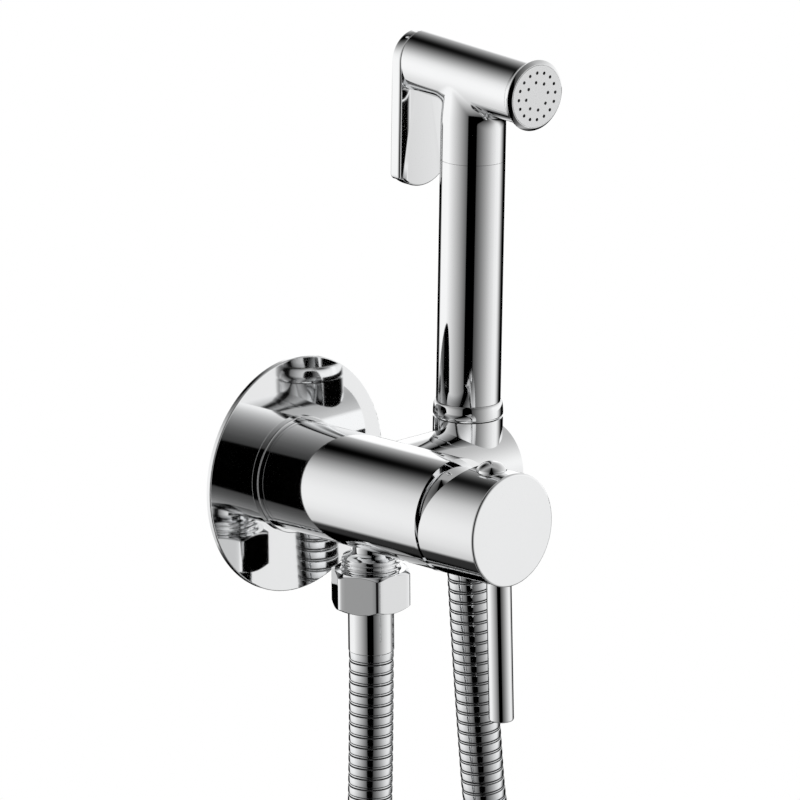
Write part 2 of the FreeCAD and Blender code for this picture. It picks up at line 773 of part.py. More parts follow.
def sprayer_head():
    grip = "stick_diameter / 2"
    spigot = f"{grip} - stick_wall - seat_gap"
    stem = turned("head_stem", [
        ("0", "seam_height - joint_length"),
        (spigot, "seam_height - joint_length"),
        (spigot, "seam_height + seat_gap"),
        (grip, "seam_height + seat_gap"),
        (grip, "head_height - neck_low"),
        ("stem_neck / 2", "head_height - neck_high"),
        ("stem_neck / 2", "head_height"),
        ("0", "head_height"),
    ])
    centre = ("0", "0", "head_height")
    barrel = place(turned("head_barrel", [
        ("0", "-head_rear"),
        ("head_diameter / 2", "-head_rear"),
        ("head_diameter / 2", "head_front"),
        ("head_diameter / 2 - spigot_step", "head_front"),
        ("head_diameter / 2 - spigot_step", "head_front + spigot_step"),
        ("0", "head_front + spigot_step"),
    ]), centre, HEAD_FORWARD)
    tee = joined(stem, barrel)
    chamber = "head_front + spigot_step - plunger_seat"
    inner = [
        cylinder("chamber_bore", chamber + " + 1", ("0", "0", "plunger_seat")),
        cylinder("plunger_diameter + 2 * run_gap", "2 * head_rear", ("0", "0", "-1.5 * head_rear")),
        cylinder("head_diameter - 8", "stick_diameter / 2 + 2", ("0", "0", "-stick_diameter / 2 - 2")),
        cylinder("valve_diameter - 3", "plunger_seat + 2", ("0", "0", "-1")),
    ]
    head = FreeCAD.Placement(Vector(0, 0, size("head_height")), HEAD_FORWARD)
    upright = cylinder(f"2 * ({spigot} - 1.4)", "joint_length + head_height - seam_height",
                       ("0", "0", "seam_height - joint_length"))
    press = math.radians(size("head_droop + trigger_press") + 0.4)
    slope = box("2 * head_diameter", "head_diameter", "2 * head_diameter",
                ("-head_diameter", "0", "-2 * head_diameter"))
    pivot = Vector(0, size("trigger_pivot_height"), size("-head_rear"))
    slope = grouped(head.multiply(FreeCAD.Placement(
        pivot, Rotation(X_AXIS, -90 - math.degrees(press)))), slope)
    pin_depth = "-head_rear - trigger_gap - trigger_pivot_depth"
    lug = joined(
        box("lug_width", "trigger_pin_diameter + 1", "trigger_gap + trigger_pivot_depth + 1",
            ("-lug_width / 2", "trigger_pivot_height - trigger_pin_diameter / 2 - 0.5", pin_depth)),
        cylinder("trigger_pin_diameter + 1", "lug_width",
                 ("-lug_width / 2", "trigger_pivot_height", pin_depth), X_AXIS))
    lug = cut(lug, cylinder("trigger_pin_diameter + 2 * seat_gap", "2 * lug_width",
                            ("-lug_width", "trigger_pivot_height", pin_depth), X_AXIS))
    body = joined(cut(cut(tee, grouped(head, joined(*inner))), upright, slope), grouped(head, lug))
    keep("sprayer_head", place(body, HOLDER_BASE, SPRAYER))


def sprayer_frame(up="0"):
    """Placement of pieces that lie along the head's own axis, local Z towards the spray."""
    holder = FreeCAD.Placement(Vector(*[size(text) for text in HOLDER_BASE]), SPRAYER)
    head = FreeCAD.Placement(Vector(0, 0, size("head_height")), HEAD_FORWARD)
    return holder.multiply(head)


def spray_parts():
    head = sprayer_frame()
    step = "head_front + spigot_step"
    gasket_front = f"{step} + gasket_thickness"
    inner = "bezel_diameter / 2 - bezel_wall"
    bezel = turned("spray_bezel_body", [
        ("head_diameter / 2 - spigot_step + seat_gap", "head_front + seat_gap"),
        ("head_diameter / 2", "head_front + seat_gap"),
        ("bezel_diameter / 2", "bezel_widest", "bezel_cove", -1),
        (inner, "bezel_front", "bezel_wall", 1),
        (inner, step),
        ("head_diameter / 2 - spigot_step + seat_gap", step),
    ])
    keep("spray_bezel", bezel).Placement = head
    seal = ring("face_gasket_body", f"2 * ({inner}) - 2 * seat_gap", "chamber_bore - 2",
                step, gasket_front)
    keep("face_gasket", seal).Placement = head
    face = ring("spray_face_body", f"2 * ({inner}) - 2 * seat_gap", "0",
                gasket_front, f"{gasket_front} + face_thickness")
    circles = (("outer_hole_circle", 16, 3.4), ("inner_hole_circle", 8, 9.1))
    holes = []
    for circle, count, start in circles:
        for index in range(count):
            angle = 2 * math.pi * index / count + math.radians(start)
            holes.append(cylinder("hole_diameter", "face_thickness + 2", (
                f"{circle} / 2 * {math.cos(angle):.6f}", f"{circle} / 2 * {math.sin(angle):.6f}",
                f"{gasket_front} - 1")))
    keep("spray_face", cut(face, *holes)).Placement = head


def trigger_parts():
    """Drawn across the head: local X across, local Y up, local Z towards the spray."""
    head = sprayer_frame()
    half = "trigger_width / 2"
    shoulder = f"sqrt(trigger_end_radius^2 - ({half} - 2)^2)"
    plate = padded("trigger_plate_blank", [
        (half, "0"),
        ("0", half, half, 1),
        (f"-{half}", "0", half, 1),
        (f"-{half}", f"-trigger_drop + trigger_end_radius - {shoulder} + 2"),
        (f"-({half} - 2)", f"-trigger_drop + trigger_end_radius - {shoulder}", "2.4", 1),
        (f"{half} - 2", f"-trigger_drop + trigger_end_radius - {shoulder}",
         "trigger_end_radius", 1),
        (half, f"-trigger_drop + trigger_end_radius - {shoulder} + 2", "2.4", 1),
    ], "trigger_thickness")
    soften(plate, "trigger_thickness / 8",
           lambda edge: edge.BoundBox.ZLength < 0.01 and edge.BoundBox.ZMin < 0.01)
    rear = "-head_rear - trigger_gap - trigger_thickness"
    place(plate, ("0", "0", rear))
    pin_depth = "-head_rear - trigger_gap - trigger_pivot_depth"
    pivot = Vector(0, size("trigger_pivot_height"), size(pin_depth))
    hanging = FreeCAD.Placement(Vector(), Rotation(X_AXIS, -size("head_droop")), pivot)
    lug_hole = "trigger_pin_diameter + 2 * seat_gap"
    pocket_height = "trigger_pin_diameter + 2.8"
    pocket_depth = "trigger_pivot_depth + trigger_pin_diameter / 2 + 0.8"
    pocket = box(
        "lug_width + 2 * run_gap", pocket_height, f"{pocket_depth} + 1",
        ("-lug_width / 2 - run_gap", f"trigger_pivot_height - ({pocket_height}) / 2",
         f"-head_rear - trigger_gap - ({pocket_depth})"))
    pin_bore = cylinder(lug_hole, "trigger_width - 8",
                        ("-(trigger_width - 8) / 2", "trigger_pivot_height", pin_depth), X_AXIS)
    keep("trigger", cut(plate, pocket, pin_bore)).Placement = head.multiply(hanging)
    pin = cylinder("trigger_pin_diameter", "trigger_width - 8.4")
    pin = joined(pin, cylinder("trigger_pin_diameter", "1"))
    pin_local = FreeCAD.Placement(
        Vector(-size("trigger_width - 8.4") / 2, size("trigger_pivot_height"), size(pin_depth)),
        Rotation(Z_AXIS, X_AXIS))
    keep("trigger_pin", pin).Placement = head.multiply(pin_local)
    tip = "-head_rear - trigger_gap + seat_gap + trigger_pivot_height * tan(head_droop)"
    plunger = turned("valve_plunger_body", [
        ("0", tip),
        ("plunger_diameter / 2", f"{tip} + plunger_dome",
         "(plunger_diameter^2 / 4 + plunger_dome^2) / (2 * plunger_dome)", 1),
        ("plunger_diameter / 2", "plunger_seat + seat_gap"),
        ("valve_diameter / 2", "plunger_seat + seat_gap"),
        ("valve_diameter / 2", "plunger_seat + seat_gap + 2"),
        ("0", "plunger_seat + seat_gap + 2"),
    ])
    keep("valve_plunger", plunger).Placement = head
    spring_start = "plunger_seat + seat_gap + 2"
    spring = ring("valve_spring_body", "spring_diameter", "spring_diameter - 2 * spring_wire",
                  f"{spring_start} + seat_gap", "head_front + spigot_step - 4 - seat_gap")
    keep("valve_spring", spring).Placement = head
    spider = ring("spring_seat_body", "chamber_bore - 2 * seat_gap", "spring_diameter - 3",
                  "head_front + spigot_step - 4", "head_front + spigot_step - seat_gap")
    keep("spring_seat", spider).Placement = head


# Hose: a route of stations, each a point and the way the hose runs there, joined by
# pairs of tangent arcs.

def biarc(start, way_in, end, way_out):
    """Two tangent arcs, or one straight line, between two stations."""
    chord = end - start
    if chord.cross(way_in).Length < 1e-6 and chord.cross(way_out).Length < 1e-6:
        return [Part.LineSegment(start, end).toShape()]
    ways = way_in + way_out
    turn = 2 * (1 - way_in.dot(way_out))
    along = chord.dot(ways)
    if turn < 1e-9:
        reach = chord.dot(chord) / (4 * chord.dot(way_out))
    else:
        reach = (-along + math.sqrt(along**2 + turn * chord.dot(chord))) / turn
    joint = (start + way_in * reach + end - way_out * reach) * 0.5
    edges = []
    for first, way, last in ((start, way_in, joint), (end, way_out * -1, joint)):
        across = last - first
        normal = across - way * across.dot(way)
        if normal.Length < 1e-6:
            edges.append(Part.LineSegment(first, last).toShape())
            continue
        normal.normalize()
        radius = across.dot(across) / (2 * across.dot(normal))
        centre = first + normal * radius
        middle = ((first - centre) + (last - centre)).normalize() * radius + centre
        edges.append(Part.Arc(first, middle, last).toShape())
        print(f"hose arc radius {radius:.0f}")
    return edges


def route(stations):
    edges = []
    for (start, way_in), (end, way_out) in zip(stations, stations[1:]):
        edges += biarc(start, way_in, end, way_out)
    return Part.Wire(Part.__sortEdges__(edges))


def swept(wire, radius):
    """A round solid along a wire of tangent arcs and lines."""
    edge = wire.OrderedEdges[0]
    start = wire.OrderedVertexes[0].Point
    at_start = (edge.valueAt(edge.FirstParameter) - start).Length < 1e-6
    parameter = edge.FirstParameter if at_start else edge.LastParameter
    way = edge.tangentAt(parameter) * (1 if at_start else -1)
    circle = Part.Wire([Part.Circle(start, way, radius).toShape()])
    shell = Part.BRepOffsetAPI.MakePipeShell(wire)
    shell.add(circle)
    shell.build()
    shell.makeSolid()
    return shell.shape()


def points_along(wire, pitch):
    """Places and directions every pitch or so along a wire, both ends among them."""
    count = max(2, round(wire.Length / pitch))
    places = []
    edges = wire.OrderedEdges
    first = wire.OrderedVertexes[0].Point
    forward = []
    for edge in edges:
        way = (edge.valueAt(edge.FirstParameter) - first).Length < 1e-6
        forward.append(way)
        first = edge.valueAt(edge.LastParameter if way else edge.FirstParameter)
    for index in range(count + 1):
        distance = wire.Length * index / count
        for edge, way in zip(edges, forward):
            if distance <= edge.Length + 1e-7:
                break
            distance -= edge.Length
        distance = min(distance, edge.Length)
        parameter = edge.getParameterByLength(distance if way else edge.Length - distance)
        places.append((edge.valueAt(parameter), edge.tangentAt(parameter) * (1 if way else -1)))
    return places


def ribbed(wire, radius, bore, pitch, depth):
    """A ribbed tube: each rib is a ruled loft through four circles."""
    lead = 2 * radius
    count = 4 * max(1, int(wire.Length / pitch))
    circles = []
    places = points_along(wire, wire.Length / count)
    for index, (point, way) in enumerate(places):
        beside = X_AXIS - way * X_AXIS.dot(way)
        frame = FreeCAD.Placement(point, Rotation(beside, way.cross(beside), way, "ZXY"))
        reach = radius if index % 4 in (0, 1) else radius - depth
        near_end = min(index, len(places) - 1 - index) * wire.Length / count < lead / 8
        reach = radius if near_end else reach
        circle = Part.makeCircle(reach)
        circle.Placement = frame
        circles.append(Part.Wire([circle]))
    outside = Part.makeLoft(circles, True, True)
    return outside.cut(swept(wire, bore / 2))


def hose():
    radius = size("hose_diameter / 2")
    bore = size("hose_bore")
    up = Vector(0, 0, 1)
    down = Vector(0, 0, -1)
    lean = LEAN.multVec(down)
    outlet_x, outlet_y = 0, -size("outlet_reach")
    top = -size("nut_end + seat_gap + ferrule_length + seat_gap")
    leg_end = Vector(outlet_x, outlet_y, -size("outlet_leg_end"))
    outlet_wire = route([(Vector(outlet_x, outlet_y, top), down), (leg_end, down)])
    holder = Vector(*[size(text) for text in HOLDER_BASE])
    ferrule_end = size("flange_seat - seat_gap - ferrule_length - seat_gap")
    sprayer_top = holder - lean * ferrule_end
    straight_end = holder + lean * 44
    rise_start = Vector(size("sprayer_leg_across"), -size("sprayer_leg_forward"),
                        -size("sprayer_leg_end"))
    sprayer_wire = route([(sprayer_top, lean), (straight_end, lean), (rise_start, down)])
    centre_x = (outlet_x + rise_start.x) / 2
    centre_z = -size("coil_centre")
    coil = size("coil_radius")
    rear = -size("coil_rear")
    front = -size("coil_front")

    def on_coil(degrees, y):
        angle = math.radians(degrees)
        return Vector(centre_x + coil * math.cos(angle), y, centre_z + coil * math.sin(angle))

    def way_on_coil(degrees, drift=0):
        angle = math.radians(degrees)
        way = Vector(-math.sin(angle), drift, math.cos(angle))
        return way.normalize()

    drift = -0.37
    coil_stations = [
        (leg_end, down),
        (on_coil(180, rear), way_on_coil(180)),
        (on_coil(270, rear), way_on_coil(270)),
        (on_coil(360, rear), way_on_coil(360)),
        (on_coil(415, rear), way_on_coil(415)),
        (on_coil(450, (rear + front) / 2), way_on_coil(450, drift)),
        (on_coil(485, front), way_on_coil(485)),
        (on_coil(540, front), way_on_coil(540)),
        (on_coil(630, front), way_on_coil(630)),
        (on_coil(720, front), way_on_coil(720)),
        (rise_start, up),
    ]
    coil_wire = route(coil_stations)
    for label, wire in (("hose_outlet_leg", outlet_wire), ("hose_sprayer_leg", sprayer_wire)):
        leg = doc.addObject("Part::Feature", label)
        leg.Shape = ribbed(wire, radius, bore, size("rib_pitch"), size("rib_depth"))
        keep(label, leg)
    loop = doc.addObject("Part::Feature", "hose_coil")
    loop.Shape = swept(coil_wire, radius)
    keep("hose_coil", loop)
    print(f"coil volume {loop.Shape.Volume:.0f}, section times length "
          f"{math.pi * radius**2 * coil_wire.Length:.0f}")
    whole = outlet_wire.Length + coil_wire.Length + sprayer_wire.Length
    print(f"hose length {whole:.0f}, coil {coil_wire.Length:.0f}")
    samples = [point for point, _ in points_along(coil_wire, 6)]
    apart = min((a - b).Length for i, a in enumerate(samples) for b in samples[i + 12:])
    print(f"least gap of the coil to itself {apart - 2 * radius:.2f}")
    tie_wall = size("tie_wall")
    depth = size("coil_front - coil_rear") + 2 * radius
    tie_width = size("tie_width")
    tie_gap = size("tie_gap")
    inner = Part.makeBox(2 * (radius + tie_gap), depth + 2 * tie_gap, 2 * tie_width)
    outer = Part.makeBox(2 * (radius + tie_gap + tie_wall), depth + 2 * (tie_gap + tie_wall), tie_width)
    inner.translate(Vector(tie_wall, tie_wall, -tie_width / 2))
    strap = outer.cut(inner)
    strap.translate(Vector(centre_x - coil - radius - tie_gap - tie_wall,
                           (rear + front) / 2 - depth / 2 - tie_gap - tie_wall,
                           centre_z - tie_width / 2))
    tie = doc.addObject("Part::Feature", "hose_tie")
    tie.Shape = strap
    keep("hose_tie", tie)


wall_plate()
valve_body()
cartridge()
shroud()
lever()
handle()
outlet()
hose_end_pieces("sprayer_washer", "sprayer_insert", "sprayer_ferrule", HOLDER_BASE,
                LEAN.multiply(DOWN), "-flange_seat - seat_gap - flange_thickness - washer_thickness",
                "-flange_seat + seat_gap")
holder()
sprayer_parts()
sprayer_head()
spray_parts()
trigger_parts()
hose()
doc.recompute()

for obj in doc.Objects:
    if "Invalid" in obj.State or "Error" in obj.State:
        raise RuntimeError(f"{obj.Name} failed to recompute: {obj.State}")
for label, obj in parts.items():
    if obj.Shape.isNull() or not obj.Shape.isValid():
        raise RuntimeError(f"{label} has no valid shape")

os.makedirs("parts", exist_ok=True)
for label, obj in parts.items():
    obj.Shape.exportStep(f"parts/{label}.step")
    box_ = obj.Shape.BoundBox
    print(f"{label}: solids {len(obj.Shape.Solids)}, volume {obj.Shape.Volume:.0f}, "
          f"x {box_.XMin:.1f}..{box_.XMax:.1f}, y {box_.YMin:.1f}..{box_.YMax:.1f}, "
          f"z {box_.ZMin:.1f}..{box_.ZMax:.1f}")
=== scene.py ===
"""Looks of a concealed bidet shower mixer. Places are in metres unless a comment says otherwise,
in the frame of the model: +Y into the wall, -Y towards the user, +X towards the sprayer holder
and +Z up."""
import json
import math

import bmesh
import bpy
from mathutils import Matrix, Vector

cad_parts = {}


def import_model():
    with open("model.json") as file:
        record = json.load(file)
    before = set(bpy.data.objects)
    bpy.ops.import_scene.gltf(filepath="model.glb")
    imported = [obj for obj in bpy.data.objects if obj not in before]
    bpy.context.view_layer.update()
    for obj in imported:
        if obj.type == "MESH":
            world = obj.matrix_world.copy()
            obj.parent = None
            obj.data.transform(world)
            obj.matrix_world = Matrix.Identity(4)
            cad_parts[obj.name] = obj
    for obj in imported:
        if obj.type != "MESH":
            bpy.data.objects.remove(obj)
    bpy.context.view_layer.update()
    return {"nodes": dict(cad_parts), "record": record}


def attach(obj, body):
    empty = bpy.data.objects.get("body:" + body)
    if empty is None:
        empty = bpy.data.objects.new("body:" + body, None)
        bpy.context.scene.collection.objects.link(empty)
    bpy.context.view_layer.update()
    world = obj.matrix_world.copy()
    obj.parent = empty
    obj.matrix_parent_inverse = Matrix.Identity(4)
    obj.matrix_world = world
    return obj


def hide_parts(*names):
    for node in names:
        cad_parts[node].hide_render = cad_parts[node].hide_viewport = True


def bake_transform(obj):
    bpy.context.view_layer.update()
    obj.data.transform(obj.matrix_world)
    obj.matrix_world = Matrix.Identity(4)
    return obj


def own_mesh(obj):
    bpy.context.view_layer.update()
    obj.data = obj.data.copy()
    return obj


MM = 0.001

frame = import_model()
nodes = frame["nodes"]

# Camera, fitted to the photograph: its place, its axes and its focal length in pixels
CAMERA_PLACE = (-1.07878, -1.12643, 0.43171)
CAMERA_RIGHT = (0.70383, -0.71034, -0.00669)
CAMERA_UP = (0.18310, 0.17231, 0.96788)
CAMERA_BACK = (-0.68636, -0.68245, 0.25134)
SENSOR = 36.0
FOCAL_PIXELS = 4500
FRAME_PIXELS = 800

# Edges that bend by more degrees than this are shaded as sharp, unless a piece has its own
SHARP = 24


# Node material helpers

def new_material(name):
    material = bpy.data.materials.new(name)
    material.use_nodes = True
    tree = material.node_tree
    tree.nodes.clear()
    output = tree.nodes.new("ShaderNodeOutputMaterial")
    return material, tree, output


def fill(tree, socket, value):
    """Link the socket to another, or set its own value."""
    if isinstance(value, bpy.types.NodeSocket):
        tree.links.new(value, socket)
    else:
        socket.default_value = value


def math_node(tree, operation, *values):
    made = tree.nodes.new("ShaderNodeMath")
    made.operation = operation
    for socket, value in zip(made.inputs, values):
        fill(tree, socket, value)
    return made.outputs[0]


def map_range(tree, value, source, target=(0.0, 1.0), kind="LINEAR"):
    """Value taken from one range to another and held at its ends."""
    made = tree.nodes.new("ShaderNodeMapRange")
    made.interpolation_type = kind
    tree.links.new(value, made.inputs["Value"])
    names = ("From Min", "From Max", "To Min", "To Max")
    for name, number in zip(names, (*source, *target)):
        made.inputs[name].default_value = number
    return made.outputs["Result"]


def smooth_step(tree, value, low, high):
    """0 at low and 1 at high. Low may be the larger of the two."""
    if low > high:
        return map_range(tree, value, (high, low), (1.0, 0.0), "SMOOTHSTEP")
    return map_range(tree, value, (low, high), (0.0, 1.0), "SMOOTHSTEP")


def principled(tree, output, **inputs):
    shader = tree.nodes.new("ShaderNodeBsdfPrincipled")
    for name, value in inputs.items():
        fill(tree, shader.inputs[name.replace("_", " ")], value)
    tree.links.new(shader.outputs[0], output.inputs["Surface"])
    return shader


def noise(tree, scale, detail=4.0):
    place = tree.nodes.new("ShaderNodeTexCoord")
    made = tree.nodes.new("ShaderNodeTexNoise")
    made.inputs["Scale"].default_value = scale
    made.inputs["Detail"].default_value = detail
    tree.links.new(place.outputs["Object"], made.inputs["Vector"])
    return made.outputs["Fac"]


def bump(tree, shader, height, distance):
    made = tree.nodes.new("ShaderNodeBump")
    made.inputs["Distance"].default_value = distance
    tree.links.new(height, made.inputs["Height"])
    tree.links.new(made.outputs[0], shader.inputs["Normal"])


def mixed_colour(tree, factor, first, second):
    made = tree.nodes.new("ShaderNodeMix")
    made.data_type = "RGBA"
    tree.links.new(factor, made.inputs["Factor"])
    made.inputs["A"].default_value = (*first, 1)
    made.inputs["B"].default_value = (*second, 1)
    return made.outputs["Result"]


# Materials

def chrome():
    """Bright chrome plate: a mirror with faint cloudiness from buffing."""
    material, tree, output = new_material("chrome")
    cloud = noise(tree, 60.0, 3.0)
    principled(
        tree, output,
        Base_Color=mixed_colour(tree, cloud, (0.905, 0.91, 0.915), (0.93, 0.935, 0.94)),
        Metallic=1.0,
        Roughness=map_range(tree, cloud, (0.0, 1.0), (0.03, 0.055)))
    return material


def satin_steel(name, shade, roughness, scale, depth):
    """Metal with a fine turned or drawn surface, and its lowest and highest roughness."""
    material, tree, output = new_material(name)
    grain = noise(tree, scale)
    shader = principled(
        tree, output,
        Base_Color=mixed_colour(tree, grain, [part * 0.93 for part in shade], shade),
        Metallic=1.0,
        Roughness=map_range(tree, grain, (0.0, 1.0), roughness))
    bump(tree, shader, grain, depth)
    return material


def moulded(name, shade, roughness, scale, depth):
    """Plastic, rubber or ceramic with a fine grain."""
    material, tree, output = new_material(name)
    grain = noise(tree, scale)
    limits = (roughness - 0.06, roughness + 0.06)
    shader = principled(
        tree, output,
        Base_Color=mixed_colour(tree, grain, [part * 0.9 for part in shade], shade),
        Roughness=map_range(tree, grain, (0.0, 1.0), limits))
    bump(tree, shader, grain, depth)
    return material


MATERIALS = {
    "body_chrome": chrome(),
    "hose_steel": satin_steel("hose_steel", (0.89, 0.90, 0.91), (0.06, 0.14), 900.0, 0.000003),
    "inner_brass": satin_steel("inner_brass", (0.72, 0.52, 0.25), (0.22, 0.34), 1200.0, 0.000006),
    "valve_ceramic": moulded("valve_ceramic", (0.84, 0.83, 0.79), 0.18, 900.0, 0.000002),
    "inner_plastic": moulded("inner_plastic", (0.78, 0.78, 0.76), 0.46, 1500.0, 0.000008),
    "seal_rubber": moulded("seal_rubber", (0.03, 0.03, 0.03), 0.62, 1500.0, 0.000012),
    "spray_plate": satin_steel("spray_plate", (0.95, 0.955, 0.96), (0.28, 0.42), 2600.0, 0.000012),
    "inner_steel": satin_steel("inner_steel", (0.62, 0.62, 0.63), (0.24, 0.36), 1200.0, 0.000006),
}

# Painted shadow: the gaps between the turns of the hose's strip lie in their own shadow, so they
# get a near-black finish
HOSE_GAP_SHADOW = moulded("hose_gap_shadow", (0.025, 0.025, 0.027), 0.5, 1500.0, 0.000004)


def dress(obj, slot_name):
    obj.data.materials.clear()
    obj.data.materials.append(MATERIALS[slot_name])


# Mesh helpers

def shade(mesh, sharp):
    """Smooth shading, kept apart at edges that bend by more than so many degrees."""
    mesh.polygons.foreach_set("use_smooth", [True] * len(mesh.polygons))
    mesh.set_sharp_from_angle(angle=math.radians(sharp))


def link(obj):
    bpy.context.scene.collection.objects.link(obj)
    return obj


def skinned(name, loops, sharp, solid):
    """A smooth-shaded piece: a closed skin through loops of places. The last loop joins the
    first or, in a solid, both are filled."""
    build = bmesh.new()
    rows = [[build.verts.new(place) for place in loop] for loop in loops]
    count = len(rows[0])
    for first, second in zip(rows, rows[1:] if solid else rows[1:] + rows[:1]):
        for index in range(count):
            after = (index + 1) % count
            build.faces.new((first[index], first[after], second[after], second[index]))
    if solid:
        build.faces.new(rows[0])
        build.faces.new(rows[-1])
    bmesh.ops.recalc_face_normals(build, faces=build.faces)
    mesh = bpy.data.meshes.new(name)
    build.to_mesh(mesh)
    build.free()
    shade(mesh, sharp)
    return link(bpy.data.objects.new(name, mesh))


def circled(name, place, loops, sharp=SHARP, solid=False):
    """A skin through loops of local points in millimetres."""
    placed = [[place @ (Vector(point) * MM) for point in loop] for loop in loops]
    return skinned(name, placed, sharp, solid)


def round_loop(radius, height, sides):
    turns = [2 * math.pi * index / sides for index in range(sides)]
    return [(radius * math.cos(turn), radius * math.sin(turn), height) for turn in turns]


def turned(name, place, outline, sides=96):
    """A ring turned about local Z from its (radius, height) corners."""
    return circled(name, place, [round_loop(radius, height, sides) for radius, height in outline])


def tube(name, rings, sides, sharp):
    """A closed tube through rings of (centre, across, beside, radius)."""
    turns = [2 * math.pi * index / sides for index in range(sides)]
    loops = [[centre + (across * math.cos(turn) + beside * math.sin(turn)) * radius
              for turn in turns] for centre, across, beside, radius in rings]
    return skinned(name, loops, sharp, True)


def arc(across, up, radius, start, end, steps):
    """Points of an arc round a centre, from one angle to another in degrees, both included."""
    turns = [math.radians(start + (end - start) * step / steps) for step in range(steps + 1)]
    return [(across + radius * math.cos(turn), up + radius * math.sin(turn)) for turn in turns]


def dress_nodes():
    """Give every CAD node its finish."""
    for row in frame["record"]["subparts"]:
        obj = nodes[row["node"]]
        dress(obj, row["material_slot"])
        shade(obj.data, SHARP)


def stands_for(piece, body, node_name, slot_name):
    """Dress a piece, let it ride a body and put it in a CAD node's place."""
    dress(piece, slot_name)
    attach(piece, body)
    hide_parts(node_name)


# Hose

RIB_PITCH = 3.9 * MM
HOSE_RADIUS = 8.0 * MM
HOSE_SIDES = 48
# Control points in millimetres, down from the outlet and up to the sprayer
LEG_DOWN = [(0, -38.5, -58), (-0.2, -38.4, -90), (-1.5, -37.2, -152), (-53.5, -27, -224)]
LEG_UP = [(106.5, -46, -226), (56.3, -43, -158), (49.8, -41.7, -77), (45.8, -41.5, -16.6),
          (45.8, -41.98, -0.8)]
# The coil between them in millimetres: the place of its middle and the radius of its turns
COIL_ACROSS, COIL_UP, COIL_RADIUS = 26.5, -262.0, 80.0
# Control points in a turn, and the first one's angle in degrees from +X towards +Z
COIL_CORNERS = 12
COIL_START = 195
# Each control point's Y: the first turn lies on the wall's side, the second on the user's
COIL_DEPTHS = [-27.0] * 8 + [-30.5, -42.5] + [-46.0] * 8

# One turn of the wound strip: share of the pitch and depth below the crest in millimetres.
# A flat band, then a narrow ridge between two gaps
RIB_SHAPE = [
    (0.00, 0.10), (0.02, 0.03), (0.06, 0.0), (0.35, 0.0), (0.63, 0.0), (0.67, 0.04),
    (0.69, 0.12), (0.70, 0.55), (0.755, 0.60), (0.765, 0.24), (0.79, 0.15), (0.83, 0.13),
    (0.87, 0.15), (0.895, 0.24), (0.905, 0.60), (0.975, 0.60),
]
# The steps of that outline that lie in the gaps
RIB_GAPS = (6, 7, 8, 12, 13, 14, 15)


def hose_route():
    """Control points of the hose's line. Those of the coil stand round a circle, and the line
    touches the circle halfway between them. They are rounded to tenths, as the legs are."""
    reach = COIL_RADIUS / math.cos(math.pi / COIL_CORNERS)
    coil = []
    for step, depth in enumerate(COIL_DEPTHS):
        angle = math.radians(COIL_START + 360 / COIL_CORNERS * step)
        across = round(COIL_ACROSS + reach * math.cos(angle), 1)
        up = round(COIL_UP + reach * math.sin(angle), 1)
        coil.append((across, depth, up))
    return LEG_DOWN + coil + LEG_UP


def hose_line():
    """Points read from the smooth line along the route."""
    route = hose_route()
    curve = bpy.data.curves.new("hose_line", "CURVE")
    curve.dimensions = "3D"
    curve.resolution_u = 24
    spline = curve.splines.new("NURBS")
    spline.points.add(len(route) - 1)
    for point, place in zip(spline.points, route):
        point.co = (place[0] * MM, place[1] * MM, place[2] * MM, 1)
    spline.order_u = 3
    spline.use_endpoint_u = True
    holder = bpy.data.objects.new("hose_line", curve)
    mesh = bpy.data.meshes.new_from_object(holder)
    line = [vertex.co.copy() for vertex in mesh.vertices]
    bpy.data.objects.remove(holder)
    bpy.data.meshes.remove(mesh)
    return line


def resampled(line, step):
    """Evenly spaced points along a line of points, both ends included, and the line's length."""
    lengths = [0.0]
    for first, second in zip(line, line[1:]):
        lengths.append(lengths[-1] + (second - first).length)
    count = round(lengths[-1] / step)
    places = []
    segment = 0
    for index in range(count + 1):
        distance = lengths[-1] * index / count
        while segment < len(line) - 2 and lengths[segment + 1] < distance:
            segment += 1
        share = (distance - lengths[segment]) / (lengths[segment + 1] - lengths[segment])
        places.append(line[segment].lerp(line[segment + 1], min(share, 1.0)))
    return places, lengths[-1]


def tube_frames(places):
    """Twist-free axes across the line at each of its points."""
    across = Vector((1, 0, 0))
    frames = []
    for index, place in enumerate(places):
        before = places[max(index - 1, 0)]
        after = places[min(index + 1, len(places) - 1)]
        way = (after - before).normalized()
        across = (across - way * across.dot(way)).normalized()
        frames.append((place, across.copy(), way.cross(across)))
    return frames


def hose():
    """Hose of wound strip, swept along its line in one piece with its coil."""
    line = hose_line()
    steps_per_rib = 40
    places, length = resampled(line, RIB_PITCH / steps_per_rib)
    ribs = int(length / RIB_PITCH)
    frames = tube_frames(places)
    rings = []
    for rib in range(ribs):
        for share, depth in RIB_SHAPE:
            position = (rib + share) / ribs * (len(places) - 1)
            index = min(int(position), len(places) - 2)
            centre = frames[index][0].lerp(frames[index + 1][0], position - index)
            across, beside = frames[index][1:]
            rings.append((centre, across, beside, HOSE_RADIUS - depth * MM))
    piece = tube("hose", rings, HOSE_SIDES, sharp=40)
    dress(piece, "hose_steel")
    # The second material is the painted shadow, given to the faces in the gaps
    piece.data.materials.append(HOSE_GAP_SHADOW)
    for face in piece.data.polygons:
        if (face.index // HOSE_SIDES) % len(RIB_SHAPE) in RIB_GAPS:
            face.material_index = 1
    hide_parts("hose_outlet_leg", "hose_coil", "hose_sprayer_leg")
    path, length = resampled(line, 4 * MM)
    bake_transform(piece)


# Pieces formed more finely than their solids. Their sizes are in millimetres

